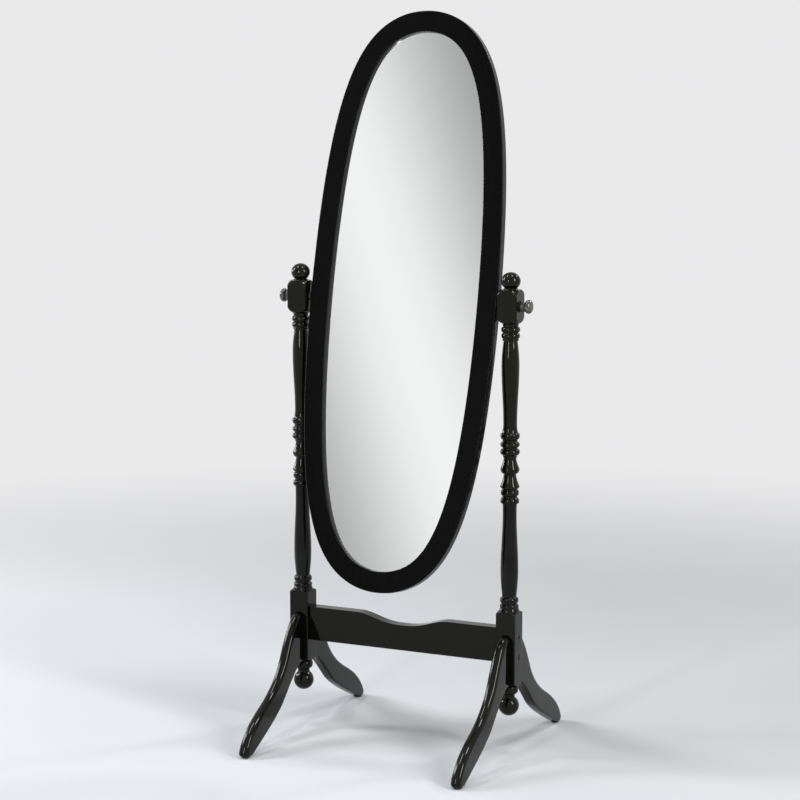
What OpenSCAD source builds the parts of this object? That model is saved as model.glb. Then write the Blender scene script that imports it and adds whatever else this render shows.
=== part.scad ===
// Free-standing tilting dressing mirror: an oval framed glass hung between two turned posts,
// each post standing on a pair of S-curved legs, the two stands joined by one shaped rail.
// X runs across the mirror, the glass faces -Y, Z is up and the floor is Z = 0.

/* [Mirror] */
// Width of the oval frame, outside to outside
frame_width = 416; // [380:2:440]
// Height of the oval frame, outside to outside
frame_height = 1183; // [1040:5:1220]
// Width of the frame's flat face
frame_face = 43; // [38:1:50]
// Thickness of the frame, front to back
frame_thickness = 20; // [19:0.5:26]
// Fullness of the oval: 0 is a plain ellipse, more fills out its four corners
oval_fullness = 0.046; // [0.02:0.002:0.06]
// Rounding of the frame's front edges
frame_round = 2.5; // [1:0.5:4]
// Lean of the mirror at rest, its top going back
mirror_lean = 11.8; // [0:0.1:20]
// Depth of the glass behind the frame's front face
glass_recess = 9; // [8:0.5:10]
// Thickness of the mirror glass
glass_thickness = 4; // [3:0.5:5]
// Width of the lip that the glass lies on
glass_lip = 8; // [6:0.5:10]
// Gap between the glass or the back panel and its rebate
glazing_gap = 1; // [0.5:0.1:1.5]
// Thickness of the back panel
panel_thickness = 3; // [2.5:0.5:4]
// Width of the ledge that the back panel is screwed to
panel_ledge = 10; // [8:1:12]
// Number of screws that hold the back panel
panel_screw_count = 12; // [8:2:16]

/* [Pivot] */
// Height of the mirror's pivot above the floor
pivot_height = 915; // [890:5:980]
// Depth of the pivot behind the frame's front face
pivot_inset = 9; // [8.5:0.5:10.5]
// Diameter of the threaded stud
stud_diameter = 8; // [6:0.5:8]
// Length of the stud inside the frame
stud_engagement = 15; // [12:1:18]
// Length of the spacer between the post and the frame
spacer_length = 6; // [5:0.5:12]
// Diameter of the spacer
spacer_diameter = 16; // [14:0.5:17]
// Outer diameter of the threaded insert
insert_diameter = 12; // [11:0.5:12.5]
// Length of the threaded insert
insert_length = 18; // [16:1:22]
// Diameter of the washer under the knob
washer_diameter = 24; // [20:1:28]
// Thickness of that washer
washer_thickness = 1.6; // [1:0.2:2.4]
// Diameter of the knob over its lobes
knob_diameter = 28; // [26:1:34]
// Diameter of the knob's collar
collar_diameter = 21; // [18:1:22]
// Length of the knob's collar
collar_length = 9; // [5:0.5:12]
// Length of the knob's lobed head
knob_head = 14; // [11:0.5:18]
// Number of lobes on the knob
knob_lobes = 6; // [5:1:8]

/* [Posts] */
// Side of the square blocks that the posts are turned from
block_side = 42; // [40:1:48]
// Underside of the base blocks above the floor
base_block_bottom = 146; // [136:1:156]
// Height of the base blocks
base_block_height = 151; // [140:0.5:170]
// Height of the top blocks
top_block_height = 66; // [56:1:76]
// Height over which the corners of a top block run out into the round
top_shoulder_height = 20; // [12:0.5:26]
// Height over which the corners of a base block run out into the round
base_shoulder_height = 8; // [6:0.5:20]
// Easing of the blocks' upright edges
block_ease = 2; // [1:0.5:3]
// Greatest radius of the two vase-shaped stretches
vase_radius = 18.1; // [16:0.1:19]
// Least radius of the two vase-shaped stretches
waist_radius = 13.9; // [12:0.1:15]
// Radius of the ball finial
finial_radius = 19.5; // [17:0.5:21]
// Height of the ball finial
finial_height = 34.5; // [30:0.5:38]
// Radius of the drop ball under the base block
drop_radius = 21.2; // [17:0.2:22]

/* [Legs] */
// Reach of each toe from the post's centre line
leg_reach = 270; // [240:2:300]
// Thickness of the leg boards
leg_thickness = 22; // [18:1:26]
// Top of the legs above the floor
leg_top = 252; // [240:1:262]
// Rounding of the legs' inner edges
leg_ease = 5; // [2:0.5:6]
// Diameter of the glides under the feet
glide_diameter = 18; // [14:1:20]
// Thickness of those glides
glide_thickness = 4; // [2:0.5:5]

/* [Rail] */
// Underside of the rail above the floor
rail_bottom = 192; // [184:1:196]
// Height of the rail at its ends
rail_height = 71; // [68:1:80]
// Thickness of the rail
rail_thickness = 24; // [20:1:28]
// Depth of the rail's front face behind the front of the blocks
rail_setback = 8; // [6:0.5:10]
// Depth of the dip in the rail's top edge
rail_dip = 18; // [8:1:26]
// Half the width of that dip
rail_dip_reach = 102; // [80:2:130]

/* [Fixings] */
// Diameter of the wooden dowels
dowel_diameter = 8; // [6:0.5:10]
// Depth of the dowels in the post block
dowel_in_block = 13; // [10:1:14]
// Depth of the dowels in the leg
dowel_in_leg = 18; // [12:1:20]
// Height of the lower dowels above the floor
lower_dowel_height = 180; // [172:1:186]
// Distance between the two dowels of a leg
dowel_pitch = 42; // [34:1:44]
// Diameter of the rail bolts
bolt_diameter = 6; // [5:0.5:8]
// Diameter of the rail bolts' heads
bolt_head_diameter = 11; // [10:0.5:13]
// Thickness of the rail bolts' heads
bolt_head_thickness = 4; // [3:0.5:5]
// Depth of the recess that sinks each bolt head
bolt_recess = 5; // [4.5:0.5:9]
// Height of the lower rail bolts above the rail's underside
lower_bolt_height = 10; // [9:0.5:13]
// Distance between the two bolts at one end of the rail
bolt_pitch = 42; // [36:1:44]
// Distance of the barrel nuts from the rail's ends
nut_setback = 26; // [20:1:34]
// Diameter of the barrel nuts
nut_diameter = 10; // [9:0.5:12]
// Length of the barrel nuts
nut_length = 16; // [12:1:18]
// Diameter of the panel screws' shanks
screw_diameter = 3; // [2.5:0.5:3.5]
// Length of the panel screws below their heads
screw_length = 11; // [8:0.5:12]
// Diameter of the panel screws' heads
screw_head_diameter = 7; // [6:0.5:8]

/* [Hidden] */
$fn = 64;

LACQUER = "#2a2924";
GLASS = "#d9dcde";
BOARD = "#5b4a38";
BEECH = "#c9a878";
STEEL = "#9a9c9e";
BRASS = "#b59a55";
NYLON = "#1c1c1c";

// Clearances: between faces that move past each other, round the stud in the post,
// in the insert's thread, and round a bolt or screw in the piece that it clamps.
slip = 0.2;
post_bore_gap = 0.08;
thread_gap = 0.05;
bolt_gap = 0.4;
cut = 1; // how far a cutting shape runs past the face that it cuts

// Places that follow from the sizes above.
block_half = block_side / 2;
post_x = frame_width / 2 + spacer_length + block_half;
base_block_top = base_block_bottom + base_block_height;
top_block_bottom = pivot_height - top_block_height / 2;
top_block_top = pivot_height + top_block_height / 2;
shoulder_radius = block_half - 0.3;
corner_radius = block_half * sqrt(2) + 1;
shoulder_start = 38; // slope of a shoulder where it leaves the turned neck
rail_half = post_x - block_half;
rail_top = rail_bottom + rail_height;

// ---------------------------------------------------------------- turned work
// A turning is a list of rows read from the top down: kind, length, radius at its lower end
// and, for a bead, the radius of its crown. The rows are written for a block of 42 mm and grow
// and shrink with the block.
turn_steps = 7;
row_block_side = 42;
gauge = block_side / row_block_side;
function in_gauge(rows) = [for (row = rows) [for (v = row) is_string(v) ? v : v * gauge]];

function seg_point(kind, u, r0, r1, crown) =
    kind == "bead" ? [r0 + (r1 - r0) * u + (crown - (r0 + r1) / 2) * sin(180 * u), (1 - cos(180 * u)) / 2] :
    kind == "cove" ? [r1 + (r0 - r1) * (1 - sin(90 * u)), 1 - cos(90 * u)] :
    kind == "flare" ? [r0 + (r1 - r0) * (1 - cos(90 * u)), sin(90 * u)] :
    kind == "belly" ? [r0 + (r1 - r0) * sin(90 * u), u] :
    kind == "tuck" ? [r1 + (r0 - r1) * cos(90 * u), u] :
    kind == "bell" ? [r0 + (r1 - r0) * pow(u, 1.3), u] :
    kind == "ease" ? [r0 + (r1 - r0) * (1 - cos(180 * u)) / 2, u] :
    [r1, u];

function turned(rows, z, r, i = 0) =
    i == len(rows) ? [] :
    let (row = rows[i], n = row[0] == "flat" ? 1 : turn_steps)
    concat(
        [for (k = [row[0] == "flat" ? 0 : 1:n])
            let (p = seg_point(row[0], k / n, r, row[2], row[3])) [p[0], z - row[1] * p[1]]],
        turned(rows, z - row[1], row[2], i + 1)
    );

function rows_length(rows) = [for (row = rows) row[1]] * [for (row = rows) 1];

// Two rings under the top block.
collar_rows = in_gauge([
    ["cove", 8, 15.4],
    ["bead", 11.2, 15.8, 19.1],
    ["flat", 1.8, 15.8],
    ["bead", 11, 15, 18.9],
    ["bead", 4.5, 14.3, 16.6]
]);
// The cluster of beads, grooves and bells at mid height.
cluster_rows = in_gauge([
    ["bead", 12.4, 15.3, 19.6],
    ["flat", 4.7, 15.3],
    ["bead", 10.7, 15.4, 19.7],
    ["flat", 3.5, 15.4],
    ["bead", 12.5, 14.8, 20],
    ["ease", 8.2, 12.8],
    ["bell", 18, 18.6],
    ["bead", 11.6, 13, 18.8],
    ["cove", 3.6, 12.6],
    ["bell", 20.8, 19],
    ["bead", 5.5, 15.6, 19.4],
    ["flat", 2.7, 15.6],
    ["bead", 12.3, 15.2, 18.5],
    ["flat", 3.7, 15.2],
    ["bead", 11.7, 17.2, 19],
    ["flat", 3, 14.5],
    ["ease", 4, 14.2]
]);
// Two rings above the base block, the lower one running out toward it.
foot_rows = concat(in_gauge([
    ["flat", 0.5, 14.6],
    ["bead", 12.2, 16.2, 18.9],
    ["flat", 2.5, 16.2],
    ["bead", 8, 18.2, 19.3]
]), [["belly", 6.8 * gauge, shoulder_radius]]);
// What is left of the column is shared by the two vases.
column_length = top_block_bottom - base_block_top;
vase_total = column_length - rows_length(collar_rows) - rows_length(cluster_rows) - rows_length(foot_rows);
upper_vase = vase_total * 0.502;
lower_vase = vase_total - upper_vase;
upper_vase_rows = [
    ["belly", upper_vase * 0.27, vase_radius],
    ["ease", upper_vase * 0.63, waist_radius],
    ["flare", upper_vase * 0.1, 18 * gauge]
];
lower_vase_rows = [
    ["ease", upper_vase * 0.08, waist_radius + 0.2],
    ["ease", lower_vase * 0.63, vase_radius],
    ["tuck", lower_vase * 0.37 - upper_vase * 0.08, 14.4 * gauge]
];
column_rows = concat(collar_rows, upper_vase_rows, cluster_rows, lower_vase_rows, foot_rows);

// The drop: a broad bead, a neck and a ball.
drop_rows = in_gauge([
    ["cove", 2, 15],
    ["bead", 18, 14, 19.6],
    ["cove", 5, 12.5],
    ["flat", 3, 12.5]
]);
drop_neck = drop_rows[3][2];
drop_ball_z = base_block_bottom - rows_length(drop_rows) - sqrt(pow(drop_radius, 2) - pow(drop_neck, 2));
finial_neck = 12 * gauge;
finial_neck_height = 2.5 * gauge;
finial_half = (finial_height - finial_neck_height) / (1 + sqrt(1 - pow(finial_neck / finial_radius, 2)));
finial_z = top_block_top + finial_height - finial_half;
ball_steps = 14;
shoulder_steps = 6;

module column() {
    rotate_extrude()
        polygon(concat(
            [[0, top_block_bottom], [shoulder_radius, top_block_bottom]],
            turned(column_rows, top_block_bottom, shoulder_radius),
            [[0, base_block_top]]
        ));
}

module drop() {
    neck_angle = acos(drop_neck / drop_radius);
    rotate_extrude()
        polygon(concat(
            [[0, base_block_bottom], [shoulder_radius, base_block_bottom]],
            turned(drop_rows, base_block_bottom, shoulder_radius),
            [for (k = [1:ball_steps])
                let (a = neck_angle - (neck_angle + 90) * k / ball_steps)
                [k == ball_steps ? 0 : drop_radius * cos(a), drop_ball_z + drop_radius * sin(a)]]
        ));
}

module finial() {
    neck_angle = acos(finial_neck / finial_radius);
    rotate_extrude()
        polygon(concat(
            [for (k = [0:ball_steps])
                let (a = 90 - (neck_angle + 90) * k / ball_steps)
                [k == 0 ? 0 : finial_radius * cos(a), finial_z + finial_half * sin(a)]],
            turned([["cove", finial_neck_height, finial_neck * 1.25]], top_block_top + finial_neck_height, finial_neck),
            [[0, top_block_top]]
        ));
}

// A square block whose corners run out into the round at both ends, which leaves an arch at the
// ends of each flat face. The shoulder's slope goes from shoulder_start to upright.
function shoulder_out(a) =
    corner_radius - (corner_radius - shoulder_radius) * (1 - sin(a)) / (1 - sin(shoulder_start));
function shoulder_along(a, height) = height * (1 - cos(a) / cos(shoulder_start));

module block(z0, z1, shoulder) {
    slopes = [for (k = [1:shoulder_steps]) shoulder_start + (90 - shoulder_start) * k / shoulder_steps];
    intersection() {
        translate([0, 0, z0])
            linear_extrude(z1 - z0)
                polygon([for (q = [0:3]) for (a = [0, 30, 60, 90])
                    let (c = block_half - block_ease, b = a + 90 * q)
                    [c * (q == 0 || q == 3 ? 1 : -1) + block_ease * cos(b),
                        c * (q < 2 ? 1 : -1) + block_ease * sin(b)]]);
        rotate_extrude()
            polygon(concat(
                [[0, z0], [shoulder_radius, z0]],
                [for (a = slopes) [shoulder_out(a), z0 + shoulder_along(a, shoulder)]],
                [for (k = [shoulder_steps - 1:-1:0])
                    [shoulder_out(slopes[k]), z1 - shoulder_along(slopes[k], shoulder)]],
                [[shoulder_radius, z1], [0, z1]]
            ));
    }
}

// The post's heart, well inside every neck, which runs through all the turned lengths.
core_radius = 8 * gauge;
module core() {
    translate([0, 0, drop_ball_z])
        cylinder(r = core_radius, h = finial_z - drop_ball_z);
}

// Puts a shape drawn along +Z at a post's centre line, pointing outward along X.
module outward(side, z) {
    translate([side * post_x, 0, z])
        rotate([0, side * 90, 0])
            children();
}

module post(side) {
    difference() {
        translate([side * post_x, 0, 0]) {
            finial();
            block(top_block_bottom, top_block_top, top_shoulder_height);
            column();
            block(base_block_bottom, base_block_top, base_shoulder_height);
            drop();
            core();
        }
        outward(side, pivot_height)
            translate([0, 0, -block_half - cut])
                cylinder(d = stud_diameter + 2 * post_bore_gap, h = block_side + 2 * cut);
        for (z = bolt_heights)
            along_bolt(side, z) {
                translate([0, 0, -block_half - cut])
                    cylinder(d = bolt_diameter + 2 * bolt_gap, h = block_side + 2 * cut);
                translate([0, 0, block_half - bolt_recess])
                    cylinder(d = bolt_head_diameter + 2 * bolt_gap, h = bolt_recess + cut);
            }
        for (z = dowel_heights, face = [-1, 1])
            dowel_cut(side, face, z, dowel_in_block, 0);
    }
}

module left_post() { color(LACQUER) post(-1); }
module right_post() { color(LACQUER) post(1); }

// ---------------------------------------------------------------- legs
// A leg is lofted between two edges drawn in its own plane as [distance out, height].
// Each edge is a chain of cubic curves. Their control points are fractions of the leg's reach
// beyond the block and of its height, so that the S keeps its shape when a size changes.
outer_shape = [
    [[0, 1], [0.097, 0.995], [0.206, 0.831], [0.287, 0.671]],
    [[0.287, 0.671], [0.348, 0.55], [0.462, 0.43], [0.652, 0.333]],
    [[0.652, 0.333], [0.82, 0.247], [0.955, 0.15], [1, 0.022]],
    [[1, 0.022], [1, 0.009], [0.993, 0], [0.981, 0]]
];
inner_shape = [
    [[0, 1], [0.125, 0.945], [0.239, 0.697], [0.36, 0.503]],
    [[0.36, 0.503], [0.502, 0.31], [0.704, 0.152], [0.885, 0]]
];
// How far along the leg, from 0 to 1, each curve ends.
outer_ends = [0, 0.33, 0.6, 0.92, 1];
inner_ends = [0.25, 0.56, 1];
mating_foot = base_block_bottom * 1.014; // where the leg's inner edge leaves the block
arch_rise = leg_thickness * 0.55; // height of the rounded top of the leg on the block's face
leg_stations = 36;
nose_steps = 8;
edge_steps = 3;

function bezier(p, t) = p[0] * pow(1 - t, 3) + p[1] * 3 * t * pow(1 - t, 2) + p[2] * 3 * t * t * (1 - t) + p[3] * pow(t, 3);
function span_of(ends, u, i = 0) = i + 2 == len(ends) || u <= ends[i + 1] ? i : span_of(ends, u, i + 1);
function chain(shape, ends, u) =
    let (i = span_of(ends, u)) bezier(shape[i], (u - ends[i]) / (ends[i + 1] - ends[i]));
function outer_point(u) =
    let (p = chain(outer_shape, outer_ends, u))
    [block_half + p[0] * (leg_reach - block_half), glide_thickness + p[1] * (leg_top - glide_thickness)];
function inner_point(u) =
    u < inner_ends[0] ?
    [block_half, leg_top - arch_rise + (mating_foot - leg_top + arch_rise) * u / inner_ends[0]] :
    let (p = chain(inner_shape, inner_ends, u))
    [block_half + p[0] * (leg_reach - block_half), glide_thickness + p[1] * (mating_foot - glide_thickness)];

// One cross-section: a full round nose outside, two eased corners inside.
function leg_section(u) =
    let (
        inner = inner_point(u),
        outer = outer_point(u),
        depth = norm(outer - inner),
        dir = (outer - inner) / depth,
        half = leg_thickness / 2,
        nose = min(half, 0.9 * depth),
        ease = min(leg_ease * min(1, max(0.06, (u - inner_ends[0] + 0.03) * 12)), 0.25 * depth),
        across = concat(
            [for (k = [0:nose_steps])
                let (a = -90 + 180 * k / nose_steps) [half * sin(a), depth - nose + nose * cos(a)]],
            [for (k = [0:edge_steps])
                let (a = 90 * k / edge_steps) [half - ease + ease * cos(a), ease - ease * sin(a)]],
            [for (k = [0:edge_steps])
                let (a = 90 - 90 * k / edge_steps) [-half + ease - ease * cos(a), ease - ease * sin(a)]]
        )
    )
    [for (p = across) [p[0], inner[0] + dir[0] * p[1], inner[1] + dir[1] * p[1]]];

// Triangles between rings of m points each, from ring 0 to ring n - 1, or round to ring 0 again.
function band_faces(n, m, closed) = [
    for (i = [0:n - (closed ? 1 : 2)], j = [0:m - 1])
        let (a = i * m + j, b = i * m + (j + 1) % m, c = ((i + 1) % n) * m + (j + 1) % m, d = ((i + 1) % n) * m + j)
        each [[a, b, c], [a, c, d]]
];
function cap_faces(start, m, flip) = [
    for (j = [1:m - 2]) flip ? [start, start + j + 1, start + j] : [start, start + j, start + j + 1]
];

module leg_board() {
    rings = [for (i = [0:leg_stations]) leg_section(i / leg_stations)];
    m = len(rings[0]);
    n = len(rings);
    polyhedron(
        points = [for (r = rings) each r],
        faces = concat(band_faces(n, m, false), cap_faces(0, m, true), cap_faces((n - 1) * m, m, false)),
        convexity = 4
    );
}

// Where the glide sits under the foot, and the nail that holds it.
sole_inner = inner_point(1)[0];
sole_outer = outer_point(1)[0];
glide_y = (sole_inner + sole_outer) / 2;
glide_nail_diameter = 2.4;
glide_nail_length = 14;
dowel_heights = [lower_dowel_height, lower_dowel_height + dowel_pitch];
end_gap = 1; // room left at the end of a blind hole

// A round cut or pin across the joint between a block and a leg.
module dowel_cut(side, face, z, in_block, in_leg) {
    translate([side * post_x, face * (block_half - in_block - (in_block > 0 ? end_gap : 0)), z])
        rotate([-90 * face, 0, 0])
            cylinder(d = dowel_diameter, h = in_block + in_leg + end_gap);
}

module leg(side, face) {
    difference() {
        translate([side * post_x, 0, 0])
            mirror([0, face < 0 ? 1 : 0, 0])
                leg_board();
        for (z = dowel_heights)
            dowel_cut(side, face, z, 0, dowel_in_leg);
        translate([side * post_x, face * glide_y, glide_thickness - cut])
            cylinder(d = glide_nail_diameter, h = glide_nail_length + cut);
    }
}

module left_front_leg() { color(LACQUER) leg(-1, -1); }
module left_back_leg() { color(LACQUER) leg(-1, 1); }
module right_front_leg() { color(LACQUER) leg(1, -1); }
module right_back_leg() { color(LACQUER) leg(1, 1); }

module leg_dowels(side) {
    for (z = dowel_heights, face = [-1, 1])
        translate([side * post_x, face * (block_half - dowel_in_block), z])
            rotate([-90 * face, 0, 0])
                cylinder(d = dowel_diameter, h = dowel_in_block + dowel_in_leg);
}

module left_leg_dowels() { color(BEECH) leg_dowels(-1); }
module right_leg_dowels() { color(BEECH) leg_dowels(1); }

module glide(side, face) {
    rim = 0.8;
    translate([side * post_x, face * glide_y, 0]) {
        rotate_extrude()
            polygon([
                [0, 0], [glide_diameter / 2 - rim, 0], [glide_diameter / 2, rim],
                [glide_diameter / 2, glide_thickness], [0, glide_thickness]
            ]);
        translate([0, 0, glide_thickness - cut])
            cylinder(d = glide_nail_diameter, h = glide_nail_length + cut - end_gap);
    }
}

module left_front_glide() { color(NYLON) glide(-1, -1); }
module left_back_glide() { color(NYLON) glide(-1, 1); }
module right_front_glide() { color(NYLON) glide(1, -1); }
module right_back_glide() { color(NYLON) glide(1, 1); }

// ---------------------------------------------------------------- rail and its bolts
bolt_heights = [rail_bottom + lower_bolt_height, rail_bottom + lower_bolt_height + bolt_pitch];
bolt_tail = 9; // how far a bolt runs past its barrel nut's centre
rail_steps = 24;

function dip_at(x) =
    abs(x) >= rail_dip_reach ? 0 : rail_dip * (1 + cos(180 * pow(abs(x) / rail_dip_reach, 1.3))) / 2;
rail_y = -block_half + rail_setback + rail_thickness / 2;

module rail_board() {
    translate([0, rail_y + rail_thickness / 2, 0])
        rotate([90, 0, 0])
            linear_extrude(rail_thickness)
                polygon(concat(
                    [[-rail_half, rail_bottom], [rail_half, rail_bottom], [rail_half, rail_top]],
                    [for (k = [rail_steps:-1:-rail_steps])
                        let (x = rail_dip_reach * k / rail_steps) [x, rail_top - dip_at(x)]],
                    [[-rail_half, rail_top]]
                ));
}

// Puts a shape drawn along +Z on the line of a rail bolt, pointing outward along X.
module along_bolt(side, z) {
    translate([0, rail_y, 0])
        outward(side, z)
            children();
}

module rail() {
    color(LACQUER)
        difference() {
            rail_board();
            for (side = [-1, 1], z = bolt_heights) {
                along_bolt(side, z)
                    translate([0, 0, -block_half - nut_setback - bolt_tail - cut])
                        cylinder(d = bolt_diameter + 2 * bolt_gap, h = nut_setback + bolt_tail + 2 * cut);
                translate([side * (rail_half - nut_setback), rail_y + rail_thickness / 2 + cut, z])
                    rotate([90, 0, 0])
                        cylinder(d = nut_diameter, h = rail_thickness / 2 + cut + nut_length / 2);
            }
        }
}

// Hexagon-socket bolts, sunk in the outer faces of the base blocks.
module rail_bolts(side) {
    socket = 4;
    for (z = bolt_heights)
        along_bolt(side, z)
            difference() {
                union() {
                    translate([0, 0, block_half - bolt_recess])
                        cylinder(d = bolt_head_diameter, h = bolt_head_thickness);
                    translate([0, 0, -block_half - nut_setback - bolt_tail])
                        cylinder(d = bolt_diameter, h = block_side + nut_setback + bolt_tail - bolt_recess + cut);
                }
                translate([0, 0, block_half - bolt_recess + bolt_head_thickness / 2])
                    cylinder(d = socket, h = bolt_head_thickness, $fn = 6);
            }
}

module left_rail_bolts() { color(STEEL) rail_bolts(-1); }
module right_rail_bolts() { color(STEEL) rail_bolts(1); }

module barrel_nuts(side) {
    for (z = bolt_heights)
        difference() {
            translate([side * (rail_half - nut_setback), rail_y + nut_length / 2, z])
                rotate([90, 0, 0])
                    cylinder(d = nut_diameter, h = nut_length);
            along_bolt(side, z)
                translate([0, 0, -block_half - nut_setback - nut_diameter])
                    cylinder(d = bolt_diameter, h = 2 * nut_diameter);
        }
}

module left_barrel_nuts() { color(STEEL) barrel_nuts(-1); }
module right_barrel_nuts() { color(STEEL) barrel_nuts(1); }

// ---------------------------------------------------------------- the mirror
// The oval is an ellipse with a third harmonic that fills out its corners. A point on the line that
// runs parallel to its edge, some way in, is found by going along the edge's own normal, so the
// frame's face is equally wide all round.
oval_points = 160;
lip_in = frame_face;
glass_wall = frame_face - glass_lip;
panel_wall = glass_wall - panel_ledge;
panel_front = glass_recess + glass_thickness;
back_ease = 1.5;

function oval_edge(t) = [
    frame_width / 2 * ((1 + oval_fullness) * cos(t) - oval_fullness * cos(3 * t)),
    frame_height / 2 * ((1 + oval_fullness) * sin(t) + oval_fullness * sin(3 * t))
];
function oval_normal(t) =
    let (
        across = frame_width / 2 * (3 * oval_fullness * sin(3 * t) - (1 + oval_fullness) * sin(t)),
        up = frame_height / 2 * (3 * oval_fullness * cos(3 * t) + (1 + oval_fullness) * cos(t))
    )
    [up, -across] / norm([up, across]);
function oval_inset(t, d) = oval_edge(t) - oval_normal(t) * d;
function oval_outline(d) = [for (i = [0:oval_points - 1]) oval_inset(360 * i / oval_points, d)];

// Places what belongs to the mirror: its own Y runs from the pivot toward the back.
module hung() {
    translate([0, 0, pivot_height])
        rotate([-mirror_lean, 0, 0])
            translate([0, -pivot_inset, 0])
                children();
}

// The frame's section as [distance in from the outer edge, depth from the front].
function corner(u, v, su, sv, flip) = [
    for (a = flip ? [90:-30:0] : [0:30:90])
        [u + su * frame_round * (1 - sin(a)), v + sv * frame_round * (1 - cos(a))]
];
section_points = concat(
    corner(0, 0, 1, 1, true),
    corner(lip_in, 0, -1, 1, false),
    [
        [lip_in, glass_recess],
        [glass_wall, glass_recess],
        [glass_wall, panel_front],
        [panel_wall, panel_front],
        [panel_wall, frame_thickness],
        [back_ease, frame_thickness],
        [0, frame_thickness - back_ease]
    ]
);

module frame_ring() {
    rings = [
        for (i = [0:oval_points - 1])
            let (t = 360 * i / oval_points)
            [for (s = section_points) let (p = oval_inset(t, s[0])) [p[0], s[1], p[1]]]
    ];
    m = len(section_points);
    polyhedron(
        points = [for (r = rings) each r],
        faces = band_faces(oval_points, m, true),
        convexity = 6
    );
}

screw_head_height = 2;
screw_path = panel_wall + panel_ledge / 2;
module at_screws() {
    for (i = [0:panel_screw_count - 1])
        let (p = oval_inset(360 * (i + 0.5) / panel_screw_count, screw_path))
        translate([p[0], panel_front + panel_thickness, p[1]])
            rotate([90, 0, 0])
                children();
}

module insert_bore(side, d, depth) {
    translate([side * (frame_width / 2 - depth), pivot_inset, 0])
        rotate([0, side * 90, 0])
            cylinder(d = d, h = depth + cut);
}

module mirror_frame() {
    color(LACQUER)
        hung()
            difference() {
                frame_ring();
                for (side = [-1, 1])
                    insert_bore(side, insert_diameter, insert_length);
                at_screws()
                    cylinder(d = screw_diameter, h = screw_length + end_gap);
            }
}

module board(d, front, thickness) {
    translate([0, front + thickness, 0])
        rotate([90, 0, 0])
            linear_extrude(thickness)
                polygon(oval_outline(d));
}

module mirror_glass() {
    color(GLASS)
        hung()
            board(glass_wall + glazing_gap, glass_recess, glass_thickness);
}

module back_panel() {
    color(BOARD)
        hung()
            difference() {
                board(panel_wall + glazing_gap, panel_front, panel_thickness);
                at_screws()
                    translate([0, 0, -cut])
                        cylinder(d = screw_diameter + bolt_gap, h = panel_thickness + 2 * cut);
            }
}

module panel_screws() {
    slot_width = 1;
    color(STEEL)
        hung()
            at_screws() {
                cylinder(d = screw_diameter, h = screw_length);
                translate([0, 0, -screw_head_height])
                    difference() {
                        cylinder(d1 = screw_head_diameter - 1.5, d2 = screw_head_diameter, h = screw_head_height);
                        for (a = [0, 90])
                            rotate([0, 0, a])
                                cube([screw_head_diameter / 2, slot_width, screw_head_height], center = true);
                    }
            }
}

// ---------------------------------------------------------------- the pivots
insert_bore_diameter = stud_diameter + 2 * thread_gap;

module insert(side) {
    hung()
        difference() {
            translate([side * (frame_width / 2 - insert_length), pivot_inset, 0])
                rotate([0, side * 90, 0])
                    cylinder(d = insert_diameter, h = insert_length);
            translate([-side * cut, 0, 0])
                insert_bore(side, insert_bore_diameter, insert_length + cut);
        }
}

module left_insert() { color(BRASS) insert(-1); }
module right_insert() { color(BRASS) insert(1); }

module spacer(side) {
    edge = 0.8;
    outward(side, pivot_height)
        translate([0, 0, -block_half - spacer_length])
            rotate_extrude()
                polygon([
                    [insert_bore_diameter / 2, 0], [spacer_diameter / 2 - edge, 0],
                    [spacer_diameter / 2, edge], [spacer_diameter / 2, spacer_length - slip - edge],
                    [spacer_diameter / 2 - edge, spacer_length - slip], [insert_bore_diameter / 2, spacer_length - slip]
                ]);
}

module left_spacer() { color(NYLON) spacer(-1); }
module right_spacer() { color(NYLON) spacer(1); }

module washer(side) {
    outward(side, pivot_height)
        translate([0, 0, block_half + slip])
            difference() {
                cylinder(d = washer_diameter, h = washer_thickness);
                translate([0, 0, -cut])
                    cylinder(d = stud_diameter + 2 * thread_gap, h = washer_thickness + 2 * cut);
            }
}

module left_washer() { color(STEEL) washer(-1); }
module right_washer() { color(STEEL) washer(1); }

// Distances along the stud from the post's centre line.
knob_base = block_half + 2 * slip + washer_thickness;
stud_in_knob = collar_length + knob_head / 2;
stud_start = -block_half - spacer_length - stud_engagement;

module stud(side) {
    end_ease = 0.8;
    length = knob_base + stud_in_knob - stud_start;
    outward(side, pivot_height)
        translate([0, 0, stud_start])
            rotate_extrude()
                polygon([
                    [0, 0], [stud_diameter / 2 - end_ease, 0], [stud_diameter / 2, end_ease],
                    [stud_diameter / 2, length], [0, length]
                ]);
}

module left_stud() { color(STEEL) stud(-1); }
module right_stud() { color(STEEL) stud(1); }

// A turned knob with a collar and a rounded head cut into lobes.
module knob(side) {
    head_radius = knob_diameter / 2;
    flute_radius = knob_diameter * 0.17;
    flute_place = head_radius + flute_radius * 0.55;
    edge = 1.5;
    head_start = 60; // how far below its widest place the head's round begins, in degrees
    head_fullness = 0.7;
    outward(side, pivot_height)
        translate([0, 0, knob_base])
            difference() {
                rotate_extrude()
                    polygon(concat(
                        [[0, 0], [collar_diameter / 2 - edge, 0], [collar_diameter / 2, edge]],
                        [[collar_diameter / 2, collar_length - edge], [collar_diameter / 2 - edge, collar_length]],
                        [for (a = [-head_start:15:90]) [
                            a == 90 ? 0 : head_radius * pow(cos(a), head_fullness),
                            collar_length + knob_head * (sin(a) + sin(head_start)) / (1 + sin(head_start))
                        ]]
                    ));
                for (i = [0:knob_lobes - 1])
                    rotate([0, 0, 360 * (i + 0.5) / knob_lobes])
                        translate([flute_place, 0, collar_length - cut])
                            cylinder(r = flute_radius, h = knob_head + 2 * cut);
                translate([0, 0, -cut])
                    cylinder(d = stud_diameter, h = stud_in_knob + cut);
            }
}

module left_knob() { color(LACQUER) knob(-1); }
module right_knob() { color(LACQUER) knob(1); }

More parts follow.
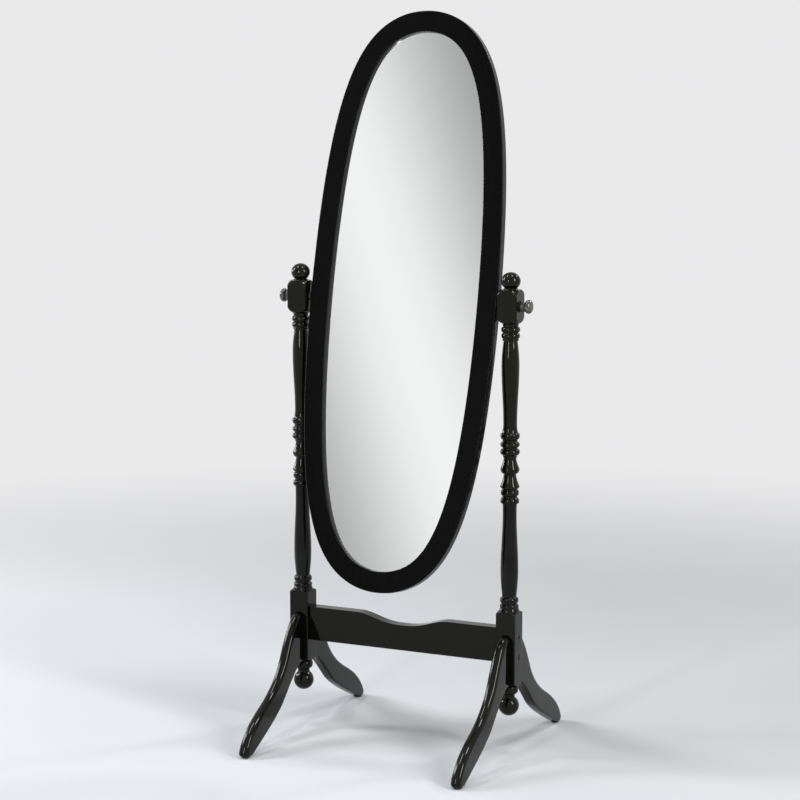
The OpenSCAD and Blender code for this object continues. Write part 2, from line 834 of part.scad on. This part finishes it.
left_post();
right_post();
left_front_leg();
left_back_leg();
right_front_leg();
right_back_leg();
left_leg_dowels();
right_leg_dowels();
left_front_glide();
left_back_glide();
right_front_glide();
right_back_glide();
rail();
left_rail_bolts();
right_rail_bolts();
left_barrel_nuts();
right_barrel_nuts();
mirror_frame();
mirror_glass();
back_panel();
panel_screws();
left_insert();
right_insert();
left_spacer();
right_spacer();
left_washer();
right_washer();
left_stud();
right_stud();
left_knob();
right_knob();
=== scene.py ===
import math

import bpy
from mathutils import Matrix, Vector

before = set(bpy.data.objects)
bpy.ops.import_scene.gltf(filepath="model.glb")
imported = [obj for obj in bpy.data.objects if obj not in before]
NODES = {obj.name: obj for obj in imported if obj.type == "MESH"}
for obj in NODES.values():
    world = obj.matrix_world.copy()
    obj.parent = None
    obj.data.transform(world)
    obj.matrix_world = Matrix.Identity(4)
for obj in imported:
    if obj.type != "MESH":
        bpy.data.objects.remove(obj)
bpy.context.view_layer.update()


# ------------------------------------------------------------------ camera
IMAGE_SIZE = 800
SENSOR = 36.0
CAMERA_PLACE = Vector((2.03958, -4.27680, 1.41956))
CAMERA_YAW = 0.4466
CAMERA_PITCH = 0.1482
CAMERA_ROLL = -0.0016
FOCAL_PIXELS = 2355.2


def make_camera():
    yaw, pitch, roll = CAMERA_YAW, CAMERA_PITCH, CAMERA_ROLL
    ahead = Vector((-math.sin(yaw), math.cos(yaw), 0.0))
    look = ahead * math.cos(pitch) - Vector((0.0, 0.0, math.sin(pitch)))
    level = Vector((math.cos(yaw), math.sin(yaw), 0.0))
    upright = level.cross(look)
    right = level * math.cos(roll) + upright * math.sin(roll)
    up = upright * math.cos(roll) - level * math.sin(roll)
    data = bpy.data.cameras.new("camera")
    data.sensor_fit = "HORIZONTAL"
    data.sensor_width = SENSOR
    data.lens = FOCAL_PIXELS * SENSOR / IMAGE_SIZE
    data.clip_start = 0.05
    data.clip_end = 60.0
    camera = bpy.data.objects.new("camera", data)
    rotation = Matrix((right, up, -look)).transposed().to_4x4()
    camera.matrix_world = Matrix.Translation(CAMERA_PLACE) @ rotation
    bpy.context.scene.collection.objects.link(camera)
    bpy.context.scene.camera = camera


make_camera()


# ------------------------------------------------------------------ smooth shading and eased edges
MERGE_DISTANCE = 0.000005
SMOOTH_ANGLE = math.radians(34)
EASE_ANGLE = math.radians(40)
POST_EASE = 0.0007
RAIL_EASE = 0.0012


def smoothing_group():
    """Joins the vertices that lie together and shades smooth all but the sharp edges."""
    tree = bpy.data.node_groups.new("smooth_wide", "GeometryNodeTree")
    tree.interface.new_socket("Geometry", in_out="INPUT", socket_type="NodeSocketGeometry")
    tree.interface.new_socket("Geometry", in_out="OUTPUT", socket_type="NodeSocketGeometry")
    n, link = tree.nodes, tree.links
    source = n.new("NodeGroupInput")
    merge = n.new("GeometryNodeMergeByDistance")
    merge.inputs["Distance"].default_value = MERGE_DISTANCE
    faces = n.new("GeometryNodeSetShadeSmooth")
    faces.domain = "FACE"
    edges = n.new("GeometryNodeSetShadeSmooth")
    edges.domain = "EDGE"
    angle = n.new("GeometryNodeInputMeshEdgeAngle")
    compare = n.new("FunctionNodeCompare")
    compare.data_type = "FLOAT"
    compare.operation = "LESS_EQUAL"
    compare.inputs[1].default_value = SMOOTH_ANGLE
    sink = n.new("NodeGroupOutput")
    link.new(source.outputs[0], merge.inputs["Geometry"])
    link.new(merge.outputs["Geometry"], faces.inputs["Geometry"])
    link.new(faces.outputs["Geometry"], edges.inputs["Geometry"])
    link.new(angle.outputs["Unsigned Angle"], compare.inputs[0])
    link.new(compare.outputs[0], edges.inputs["Shade Smooth"])
    link.new(edges.outputs["Geometry"], sink.inputs[0])
    return tree


SMOOTH_WIDE = smoothing_group()


def dress(node, material, bevel=0.0):
    """Gives a piece its material, eases its edges where asked and shades it."""
    piece = NODES[node]
    mesh = piece.data
    if "custom_normal" in mesh.attributes:
        mesh.attributes.remove(mesh.attributes["custom_normal"])
    mesh.materials.clear()
    mesh.materials.append(material)
    if bevel:
        weld = piece.modifiers.new("weld", "WELD")
        weld.merge_threshold = MERGE_DISTANCE
        ease = piece.modifiers.new("ease", "BEVEL")
        ease.width = bevel
        ease.segments = 2
        ease.limit_method = "ANGLE"
        ease.angle_limit = EASE_ANGLE
    smooth = piece.modifiers.new("smooth", "NODES")
    smooth.node_group = SMOOTH_WIDE
    flats = piece.modifiers.new("flats", "WEIGHTED_NORMAL")
    flats.mode = "FACE_AREA"
    flats.weight = 50
    flats.keep_sharp = True


# ------------------------------------------------------------------ materials
def new_material(name):
    material = bpy.data.materials.new(name)
    material.use_nodes = True
    tree = material.node_tree
    shader = tree.nodes["Principled BSDF"]
    return material, tree, shader


def mapping(tree, scale=(1.0, 1.0, 1.0)):
    where = tree.nodes.new("ShaderNodeTexCoord")
    place = tree.nodes.new("ShaderNodeMapping")
    place.inputs["Scale"].default_value = scale
    tree.links.new(where.outputs["Object"], place.inputs["Vector"])
    return place


def noise(tree, vector, scale, detail, roughness=0.5):
    n = tree.nodes.new("ShaderNodeTexNoise")
    n.inputs["Scale"].default_value = scale
    n.inputs["Detail"].default_value = detail
    n.inputs["Roughness"].default_value = roughness
    tree.links.new(vector.outputs["Vector"], n.inputs["Vector"])
    return n


def ramp(tree, source, stops):
    r = tree.nodes.new("ShaderNodeValToRGB")
    elements = r.color_ramp.elements
    while len(elements) > 1:
        elements.remove(elements[-1])
    elements[0].position = stops[0][0]
    elements[0].color = (*stops[0][1], 1.0)
    for position, colour in stops[1:]:
        e = elements.new(position)
        e.color = (*colour, 1.0)
    tree.links.new(source, r.inputs["Fac"])
    return r


def grey_ramp(tree, source, dark, light):
    return ramp(tree, source, [(0.3, (dark,) * 3), (0.7, (light,) * 3)])


def bump(tree, height, strength, distance, below=None):
    b = tree.nodes.new("ShaderNodeBump")
    b.inputs["Strength"].default_value = strength
    b.inputs["Distance"].default_value = distance
    tree.links.new(height, b.inputs["Height"])
    if below is not None:
        tree.links.new(below.outputs["Normal"], b.inputs["Normal"])
    return b


GRAIN_SCALES = {"X": (6.0, 160.0, 160.0), "Y": (160.0, 6.0, 160.0), "Z": (160.0, 160.0, 6.0)}


def lacquer(name, along, ior, roughness, colours, tint=(1.0, 0.98, 0.88), flow=0.0):
    """Black lacquer over close-grained hardwood, the grain running along one axis."""
    material, tree, shader = new_material(name)
    grain_place = mapping(tree, GRAIN_SCALES[along])
    grain = noise(tree, grain_place, 1.0, 6.0, 0.6)
    cloud_place = mapping(tree)
    cloud = noise(tree, cloud_place, 9.0, 3.0)
    peel = noise(tree, cloud_place, 420.0, 2.0)
    colour = ramp(tree, grain.outputs["Fac"], list(zip((0.3, 0.55, 0.75), colours)))
    tree.links.new(colour.outputs["Color"], shader.inputs["Base Color"])
    rough = grey_ramp(tree, cloud.outputs["Fac"], roughness, roughness + 0.04)
    tree.links.new(rough.outputs["Color"], shader.inputs["Roughness"])
    edges = None
    if flow:  # the lacquer has flowed round over the edges
        edges = tree.nodes.new("ShaderNodeBevel")
        edges.samples = 8
        edges.inputs["Radius"].default_value = flow
    fine = bump(tree, grain.outputs["Fac"], 0.06, 0.0003, edges)
    skin = bump(tree, peel.outputs["Fac"], 0.04, 0.0002, fine)
    tree.links.new(skin.outputs["Normal"], shader.inputs["Normal"])
    shader.inputs["IOR"].default_value = ior
    shader.inputs["Specular Tint"].default_value = (*tint, 1.0)
    return material


def silvered_glass():
    material, tree, shader = new_material("mirror_glass")
    place = mapping(tree)
    haze = noise(tree, place, 3.0, 3.0)
    tint = ramp(tree, haze.outputs["Fac"], [(0.3, (0.93, 0.94, 0.94)), (0.7, (0.95, 0.955, 0.955))])
    tree.links.new(tint.outputs["Color"], shader.inputs["Base Color"])
    shader.inputs["Roughness"].default_value = 0.0
    shader.inputs["Metallic"].default_value = 1.0
    return material


def wood_bare(name, dark, light, along):
    material, tree, shader = new_material(name)
    place = mapping(tree, GRAIN_SCALES[along])
    grain = noise(tree, place, 0.8, 7.0, 0.6)
    colour = ramp(tree, grain.outputs["Fac"], [(0.32, dark), (0.7, light)])
    tree.links.new(colour.outputs["Color"], shader.inputs["Base Color"])
    rough = grey_ramp(tree, grain.outputs["Fac"], 0.62, 0.78)
    tree.links.new(rough.outputs["Color"], shader.inputs["Roughness"])
    relief = bump(tree, grain.outputs["Fac"], 0.3, 0.0004)
    tree.links.new(relief.outputs["Normal"], shader.inputs["Normal"])
    return material


def board():
    """Hard-pressed fibre board: fine flecks in two browns."""
    material, tree, shader = new_material("back_board")
    place = mapping(tree)
    fleck = noise(tree, place, 260.0, 5.0, 0.7)
    wide = noise(tree, place, 5.0, 3.0)
    mix = tree.nodes.new("ShaderNodeMix")
    mix.data_type = "RGBA"
    mix.blend_type = "MULTIPLY"
    mix.inputs["Factor"].default_value = 1.0
    base = ramp(tree, fleck.outputs["Fac"], [(0.35, (0.1, 0.062, 0.036)), (0.65, (0.2, 0.135, 0.085))])
    shade = grey_ramp(tree, wide.outputs["Fac"], 0.85, 1.0)
    tree.links.new(base.outputs["Color"], mix.inputs["A"])
    tree.links.new(shade.outputs["Color"], mix.inputs["B"])
    tree.links.new(mix.outputs["Result"], shader.inputs["Base Color"])
    rough = grey_ramp(tree, fleck.outputs["Fac"], 0.5, 0.68)
    tree.links.new(rough.outputs["Color"], shader.inputs["Roughness"])
    relief = bump(tree, fleck.outputs["Fac"], 0.15, 0.0002)
    tree.links.new(relief.outputs["Normal"], shader.inputs["Normal"])
    return material


def metal(name, dark, light, roughness):
    material, tree, shader = new_material(name)
    place = mapping(tree)
    marks = noise(tree, place, 900.0, 4.0, 0.6)
    colour = ramp(tree, marks.outputs["Fac"], [(0.3, dark), (0.7, light)])
    tree.links.new(colour.outputs["Color"], shader.inputs["Base Color"])
    rough = grey_ramp(tree, marks.outputs["Fac"], roughness, roughness + 0.14)
    tree.links.new(rough.outputs["Color"], shader.inputs["Roughness"])
    relief = bump(tree, marks.outputs["Fac"], 0.08, 0.0001)
    tree.links.new(relief.outputs["Normal"], shader.inputs["Normal"])
    shader.inputs["Metallic"].default_value = 1.0
    return material


def nylon():
    material, tree, shader = new_material("black_nylon")
    place = mapping(tree)
    grain = noise(tree, place, 1400.0, 3.0)
    colour = grey_ramp(tree, grain.outputs["Fac"], 0.012, 0.02)
    tree.links.new(colour.outputs["Color"], shader.inputs["Base Color"])
    rough = grey_ramp(tree, grain.outputs["Fac"], 0.48, 0.6)
    tree.links.new(rough.outputs["Color"], shader.inputs["Roughness"])
    relief = bump(tree, grain.outputs["Fac"], 0.1, 0.0001)
    tree.links.new(relief.outputs["Normal"], shader.inputs["Normal"])
    return material


OLIVE_BLACK = ((0.0018, 0.0018, 0.0011), (0.003, 0.003, 0.0018), (0.005, 0.0048, 0.003))
KNOB_BLACK = ((0.03, 0.03, 0.026), (0.041, 0.041, 0.036), (0.055, 0.055, 0.048))
DEEP_BLACK = ((0.0015, 0.0015, 0.0015), (0.0022, 0.0022, 0.0021), (0.0036, 0.0035, 0.0033))
LACQUER_IOR = 1.3
LACQUER_ROUGHNESS = 0.05
EDGE_FLOW = 0.0016
LACQUER_X = lacquer("lacquer_along_x", "X", LACQUER_IOR, LACQUER_ROUGHNESS, OLIVE_BLACK)
LACQUER_Y = lacquer("lacquer_along_y", "Y", LACQUER_IOR, LACQUER_ROUGHNESS, OLIVE_BLACK)
LACQUER_Z = lacquer("lacquer_along_z", "Z", LACQUER_IOR, LACQUER_ROUGHNESS, OLIVE_BLACK, flow=EDGE_FLOW)
LACQUER_KNOB = lacquer("lacquer_knob", "X", 1.75, 0.24, KNOB_BLACK)
LACQUER_FRAME = lacquer("lacquer_frame", "Z", LACQUER_IOR, 0.16, DEEP_BLACK, (0.35, 0.35, 0.34))
GLASS = silvered_glass()
BOARD = board()
BEECH = wood_bare("beech", (0.4, 0.25, 0.13), (0.58, 0.4, 0.23), "Y")
STEEL = metal("plated_steel", (0.36, 0.36, 0.37), (0.5, 0.5, 0.5), 0.28)
DARK_STEEL = metal("blackened_steel", (0.05, 0.048, 0.045), (0.09, 0.088, 0.084), 0.32)
BRASS = metal("brass", (0.5, 0.36, 0.14), (0.66, 0.5, 0.22), 0.26)
NYLON = nylon()

for side in ("left", "right"):
    dress(side + "_post", LACQUER_Z, bevel=POST_EASE)
    for face in ("front", "back"):
        dress(f"{side}_{face}_leg", LACQUER_Y)
        dress(f"{side}_{face}_glide", NYLON)
    dress(side + "_leg_dowels", BEECH)
    dress(side + "_rail_bolts", DARK_STEEL)
    dress(side + "_barrel_nuts", STEEL)
    dress(side + "_insert", BRASS)
    dress(side + "_spacer", NYLON)
    dress(side + "_washer", DARK_STEEL)
    dress(side + "_stud", STEEL)
    dress(side + "_knob", LACQUER_KNOB)
dress("rail", LACQUER_X, bevel=RAIL_EASE)
dress("mirror_frame", LACQUER_FRAME)
dress("mirror_glass", GLASS)
dress("back_panel", BOARD)
dress("panel_screws", STEEL)


# ------------------------------------------------------------------ floor, world and lights
BACKDROP = (0.82, 0.82, 0.83)
FLOOR_SIZE = 60.0
FLOOR_DROP = 0.0005
FADE_START, FADE_END = 0.9, 3.4  # where the floor begins to fade into the backdrop, and ends
AMBIENT_COLOUR = (0.92, 0.94, 1.0)
AMBIENT_STRENGTH = 0.12


def calculate(tree, operation, a, b):
    node = tree.nodes.new("ShaderNodeMath")
    node.operation = operation
    tree.links.new(a, node.inputs[0])
    tree.links.new(b, node.inputs[1])
    return node.outputs[0]


def multiply(tree, a, b):
    return calculate(tree, "MULTIPLY", a, b)


def larger(tree, a, b):
    return calculate(tree, "MAXIMUM", a, b)


def smooth_step(tree, value, low, high):
    node = tree.nodes.new("ShaderNodeMapRange")
    node.interpolation_type = "SMOOTHSTEP"
    node.inputs["From Min"].default_value = low
    node.inputs["From Max"].default_value = high
    tree.links.new(value, node.inputs["Value"])
    return node.outputs["Result"]


def dot(tree, vector, direction):
    node = tree.nodes.new("ShaderNodeVectorMath")
    node.operation = "DOT_PRODUCT"
    tree.links.new(vector, node.inputs[0])
    node.inputs[1].default_value = direction
    return node.outputs["Value"]


def plain_rays(tree):
    """The rays that see the plain backdrop: the camera's, and those of gloss and glass."""
    paths = tree.nodes.new("ShaderNodeLightPath").outputs
    reflected = larger(tree, paths["Is Glossy Ray"], paths["Is Transmission Ray"])
    return larger(tree, paths["Is Camera Ray"], reflected)


def make_floor():
    """A pale floor that keeps the shadows near the mirror and fades into the backdrop farther off."""
    bpy.ops.mesh.primitive_plane_add(size=FLOOR_SIZE, location=(0.0, 0.0, -FLOOR_DROP))
    floor = bpy.context.object
    floor.name = "floor"
    material, tree, shader = new_material("floor")
    place = mapping(tree)
    cloud = noise(tree, place, 2.0, 3.0)
    colour = ramp(tree, cloud.outputs["Fac"], [(0.3, (0.70, 0.70, 0.705)), (0.7, (0.73, 0.73, 0.735))])
    tree.links.new(colour.outputs["Color"], shader.inputs["Base Color"])
    shader.inputs["Roughness"].default_value = 0.8
    shader.inputs["IOR"].default_value = 1.2
    far = tree.nodes.new("ShaderNodeVectorMath")
    far.operation = "LENGTH"
    tree.links.new(place.outputs["Vector"], far.inputs[0])
    faded = smooth_step(tree, far.outputs["Value"], FADE_START, FADE_END)
    seen = multiply(tree, faded, plain_rays(tree))
    glow = tree.nodes.new("ShaderNodeEmission")
    glow.inputs["Color"].default_value = (*BACKDROP, 1.0)
    glow.inputs["Strength"].default_value = 1.0
    mix = tree.nodes.new("ShaderNodeMixShader")
    tree.links.new(seen, mix.inputs["Fac"])
    tree.links.new(shader.outputs["BSDF"], mix.inputs[1])
    tree.links.new(glow.outputs["Emission"], mix.inputs[2])
    tree.links.new(mix.outputs["Shader"], tree.nodes["Material Output"].inputs["Surface"])
    floor.data.materials.append(material)


make_floor()

# The glass looks toward a softly lit screen in front of the mirror and to its left. It is brightest
# along a slanting ridge and falls off in a bell curve to both sides.
SCREEN_MIDDLE = (-0.428, -0.8645, 0.2637)
SCREEN_ACROSS = (-0.8462, 0.2808, -0.4529)
SCREEN_EDGE = (0.955, 0.985)  # cosines of the angles from its middle between which it fades out
SCREEN_RIDGE = 0.004  # sine of the angle from its middle to the ridge
SCREEN_WIDTH = 0.0475  # and of the angle over which it falls off
SCREEN_LOW, SCREEN_HIGH = 0.27, 0.93  # brightness far from the ridge, and on it


def make_world():
    world = bpy.data.worlds.new("studio")
    bpy.context.scene.world = world
    world.use_nodes = True
    tree = world.node_tree
    n, link = tree.nodes, tree.links
    where = n.new("ShaderNodeTexCoord").outputs["Generated"]
    across = n.new("ShaderNodeMapRange")
    across.clamp = False
    link.new(dot(tree, where, SCREEN_ACROSS), across.inputs["Value"])
    across.inputs["From Min"].default_value = SCREEN_RIDGE
    across.inputs["From Max"].default_value = SCREEN_RIDGE + SCREEN_WIDTH
    bell = n.new("ShaderNodeMath")
    bell.operation = "POWER"
    bell.inputs[0].default_value = math.exp(-1.0)
    link.new(multiply(tree, across.outputs["Result"], across.outputs["Result"]), bell.inputs[1])
    screen = n.new("ShaderNodeMapRange")
    link.new(bell.outputs["Value"], screen.inputs["Value"])
    screen.inputs["To Min"].default_value = SCREEN_LOW
    screen.inputs["To Max"].default_value = SCREEN_HIGH
    near = smooth_step(tree, dot(tree, where, SCREEN_MIDDLE), *SCREEN_EDGE)
    seen = n.new("ShaderNodeMix")
    seen.data_type = "RGBA"
    link.new(near, seen.inputs["Factor"])
    seen.inputs["A"].default_value = (*BACKDROP, 1.0)
    link.new(screen.outputs["Result"], seen.inputs["B"])
    background = n["Background"]
    link.new(seen.outputs["Result"], background.inputs["Color"])
    background.inputs["Strength"].default_value = 1.0
    dim = n.new("ShaderNodeBackground")
    dim.inputs["Color"].default_value = (*AMBIENT_COLOUR, 1.0)
    dim.inputs["Strength"].default_value = AMBIENT_STRENGTH
    mix = n.new("ShaderNodeMixShader")
    link.new(plain_rays(tree), mix.inputs["Fac"])
    link.new(dim.outputs[0], mix.inputs[1])
    link.new(background.outputs[0], mix.inputs[2])
    link.new(mix.outputs[0], n["World Output"].inputs["Surface"])


make_world()


def area_light(name, place, aim, width, height, power, colour=(1.0, 1.0, 1.0)):
    data = bpy.data.lights.new(name, "AREA")
    data.shape = "RECTANGLE"
    data.size = width
    data.size_y = height
    data.energy = power
    data.color = colour
    lamp = bpy.data.objects.new(name, data)
    lamp.location = place
    lamp.rotation_euler = (Vector(aim) - Vector(place)).to_track_quat("-Z", "Y").to_euler()
    bpy.context.scene.collection.objects.link(lamp)


WARM = (1.0, 0.985, 0.95)
COOL = (0.93, 0.98, 1.06)
SLIGHTLY_COOL = (0.95, 0.98, 1.04)
area_light("key", (1.9, 2.6, 3.3), (0.0, 0.0, 0.6), 0.5, 0.5, 32.0, WARM)
area_light("overhead_left", (-1.3, -0.8, 3.8), (-1.3, -0.8, 0.0), 0.4, 1.1, 34.0, COOL)
area_light("overhead_right", (0.9, -0.1, 3.8), (0.9, -0.1, 0.0), 0.7, 0.5, 24.0, SLIGHTLY_COOL)
area_light("wall_left", (-3.0, 0.4, 1.1), (0.0, 0.0, 0.6), 0.6, 0.6, 20.0)
area_light("strip_front", (-0.1, -2.4, 1.3), (-0.1, 0.0, 1.3), 0.2, 1.0, 16.0)
area_light("strip_right", (2.4, -0.75, 1.8), (0.0, 0.0, 1.5), 0.4, 1.6, 42.0)
area_light("strip_left", (-2.85, -0.85, 2.2), (0.0, 0.0, 1.2), 0.5, 1.4, 56.0, COOL)

bpy.context.scene.view_settings.view_transform = "Standard"
